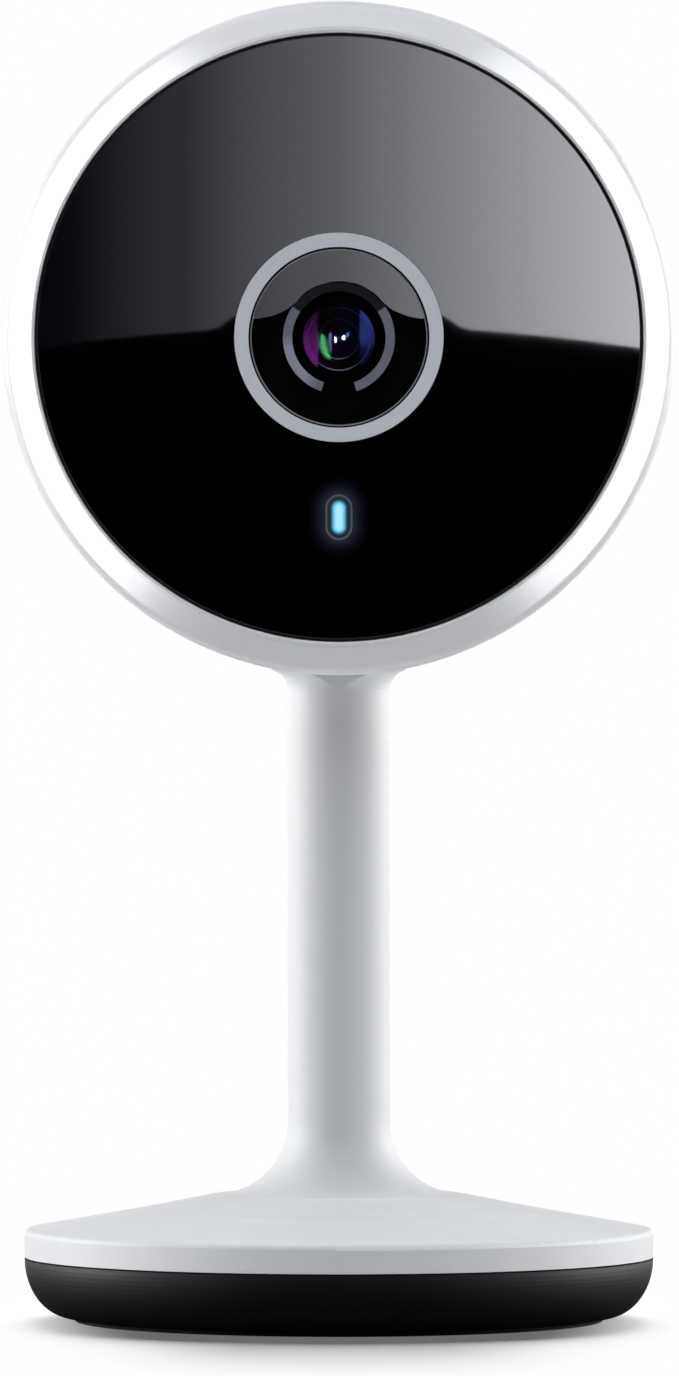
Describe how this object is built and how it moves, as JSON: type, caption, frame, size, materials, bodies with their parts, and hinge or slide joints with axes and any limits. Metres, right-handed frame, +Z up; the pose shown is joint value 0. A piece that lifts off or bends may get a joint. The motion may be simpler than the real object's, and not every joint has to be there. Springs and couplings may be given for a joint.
{
  "type": "security camera",
  "caption": "Indoor security camera with a round head, black front window and ringed lens, tilting on a slim stem above a round swivelling foot.",
  "frame": {"origin": "middle of the foot's underside, on the stem's axis", "axes": "+Z up the stem, -Y the way the lens looks, +X to the right of someone who faces the lens"},
  "size_m": [0.062, 0.0584, 0.1219],
  "materials": {
    "acetal": "satin",
    "antenna_film": "copper on film",
    "ballast_steel": "zinc plated",
    "barrel_black": "matte",
    "black_abs": "fine texture",
    "black_acrylic": "polished",
    "black_cup": "matte",
    "black_rubber": "matte",
    "bracket_steel": "stamped",
    "brass": "turned",
    "button_grey": "satin",
    "card_black": "satin",
    "chip_black": "moulded epoxy",
    "circuit_board": "solder mask",
    "clear_window": "polished",
    "clip_grey": "satin",
    "coated_glass": "coated and polished",
    "cone_film": "pressed film",
    "copper": "enamelled wire",
    "filter_grey": "satin",
    "flex_white": "satin",
    "foam_tape": "matte",
    "lamp_clear": "moulded epoxy",
    "light_pipe": "diffusing",
    "magnet": "nickel plated",
    "optic_black": "matte",
    "screw_steel": "zinc plated",
    "sensor": "polished",
    "shield_tin": "tin plated",
    "silver_trim": "matte silver",
    "sink_aluminium": "extruded",
    "speaker_grey": "satin",
    "status_tint": "satin",
    "white_abs": "satin",
    "wire_red": "satin"
  },
  "bodies": {
    "base": {"base_cup": "black_cup", "foot_ring": "black_rubber", "ballast_plate": "ballast_steel", "ballast_screws": "screw_steel", "swivel_washer": "acetal"},
    "stand": {"stand_column": "white_abs", "stem_core_tube": "bracket_steel", "swivel_insert": "brass", "swivel_retainer": "bracket_steel", "swivel_screw": "screw_steel"},
    "head": {"front_bezel": "white_abs", "rear_shell": "white_abs", "front_window": "black_acrylic", "window_tape": "foam_tape", "inner_frame": "black_abs", "housing_screws": "screw_steel", "lens_trim_ring": "silver_trim", "lens_cover": "clear_window", "lens_clip": "clip_grey", "lens_barrel": "barrel_black", "front_lens": "coated_glass", "middle_lens": "coated_glass", "rear_lens": "coated_glass", "aperture_ring": "optic_black", "focus_lock_ring": "optic_black", "lens_holder": "black_abs", "filter_case": "black_abs", "filter_coil": "copper", "image_sensor": "sensor", "main_board": "circuit_board", "main_chip": "chip_black", "heat_sink": "sink_aluminium", "wifi_module": "shield_tin", "antenna_strip": "antenna_film", "internal_leads": "wire_red", "board_parts": "chip_black", "ribbon_cable": "flex_white", "usb_socket": "shield_tin", "card_socket": "shield_tin", "reset_switch": "shield_tin", "speaker_frame": "speaker_grey", "speaker_cone": "cone_film", "speaker_gasket": "foam_tape", "microphone": "shield_tin", "microphone_boot": "black_rubber", "ir_board": "circuit_board", "ir_lamp_set": "lamp_clear", "light_sensor": "lamp_clear", "status_leds": "lamp_clear", "status_window": "status_tint", "status_light_pipe": "light_pipe", "inner_screws": "screw_steel", "hinge_bracket": "bracket_steel", "hinge_screw": "screw_steel", "hinge_nut": "screw_steel", "friction_washers": "acetal"},
    "memory_card": {"memory_card": "card_black"},
    "reset_button": {"reset_button": "button_grey"},
    "filter_shuttle": {"filter_shuttle": "filter_grey"},
    "filter_rotor": {"filter_rotor": "magnet"}
  },
  "joints": [
    {"name": "swivel", "type": "hinge", "parent": "base", "child": "stand", "pos_m": [0, 0, 0.005], "axis": [0, 0, 1], "continuous": true},
    {"name": "tilt", "type": "hinge", "parent": "stand", "child": "head", "pos_m": [0, 0, 0.0659], "axis": [1, 0, 0], "range_deg": [-25, 25]},
    {"name": "card_slide", "type": "slide", "parent": "head", "child": "memory_card", "axis": [-1, 0, 0], "range_m": [-0.0005, 0.0165]},
    {"name": "reset_press", "type": "slide", "parent": "head", "child": "reset_button", "axis": [0, -1, 0], "range_m": [0, 0.00035], "stiffness_N_per_m": 1500, "springref_m": -0.0003},
    {"name": "filter_turn", "type": "hinge", "parent": "head", "child": "filter_rotor", "pos_m": [0, 0, 0.0999], "axis": [0, 1, 0], "range_deg": [0, 80]},
    {"name": "filter_slide", "type": "slide", "parent": "head", "child": "filter_shuttle", "axis": [-1, 0, 0], "range_m": [0, 0.006]}
  ],
  "couplings": [
    {"joint": "filter_turn", "follows": "filter_slide", "rad_per_m": 232.7}
  ]
}
